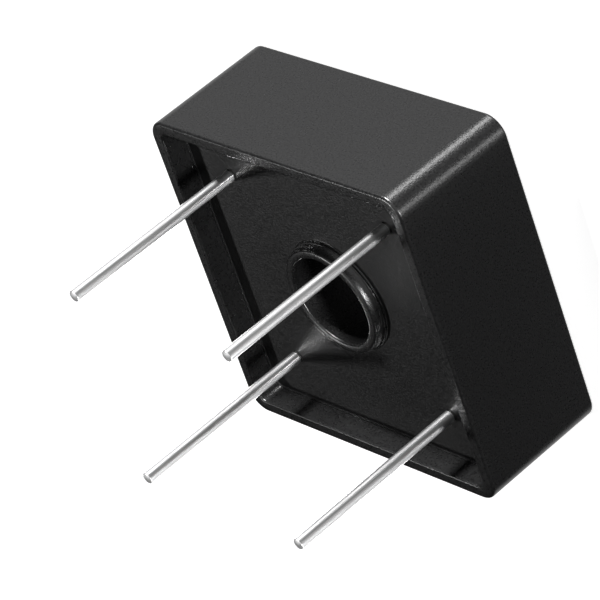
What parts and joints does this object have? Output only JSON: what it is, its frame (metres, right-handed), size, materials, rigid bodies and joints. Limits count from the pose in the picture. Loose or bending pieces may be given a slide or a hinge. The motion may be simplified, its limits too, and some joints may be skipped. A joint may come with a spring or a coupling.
{
  "type": "bridge rectifier",
  "caption": "Square potted single-phase bridge rectifier with a central mounting hole and round wire leads.",
  "frame": {"origin": "centre of the mounting hole on the flat mounting face", "axes": "+Z along the leads, away from the flat mounting face; X and Y along the sides of the square case"},
  "size_m": [0.0286, 0.0286, 0.0262],
  "materials": {
    "case_plastic": "fine-grained satin black moulded plastic",
    "potting_epoxy": "semi-gloss black epoxy, self-levelled",
    "aluminium": "plain sheet",
    "copper": "stamped copper",
    "silicon": "metallised silicon",
    "solder": "dull solder",
    "tinned_wire": "bright tinned copper wire"
  },
  "bodies": {
    "root": {"case": "case_plastic", "potting_compound": "potting_epoxy", "heat_spreader": "aluminium", "positive_strap": "copper", "negative_strap": "copper", "ac1_strap": "copper", "ac2_strap": "copper", "diode_ac1_positive": "silicon", "diode_ac2_positive": "silicon", "diode_negative_ac1": "silicon", "diode_negative_ac2": "silicon", "solder_below_diode_ac1_positive": "solder", "solder_above_diode_ac1_positive": "solder", "solder_below_diode_ac2_positive": "solder", "solder_above_diode_ac2_positive": "solder", "solder_below_diode_negative_ac1": "solder", "solder_above_diode_negative_ac1": "solder", "solder_below_diode_negative_ac2": "solder", "solder_above_diode_negative_ac2": "solder", "solder_below_positive_lead": "solder", "solder_below_negative_lead": "solder", "solder_below_ac1_lead": "solder", "solder_below_ac2_lead": "solder", "positive_lead": "tinned_wire", "negative_lead": "tinned_wire", "ac1_lead": "tinned_wire", "ac2_lead": "tinned_wire"}
  },
  "joints": []
}
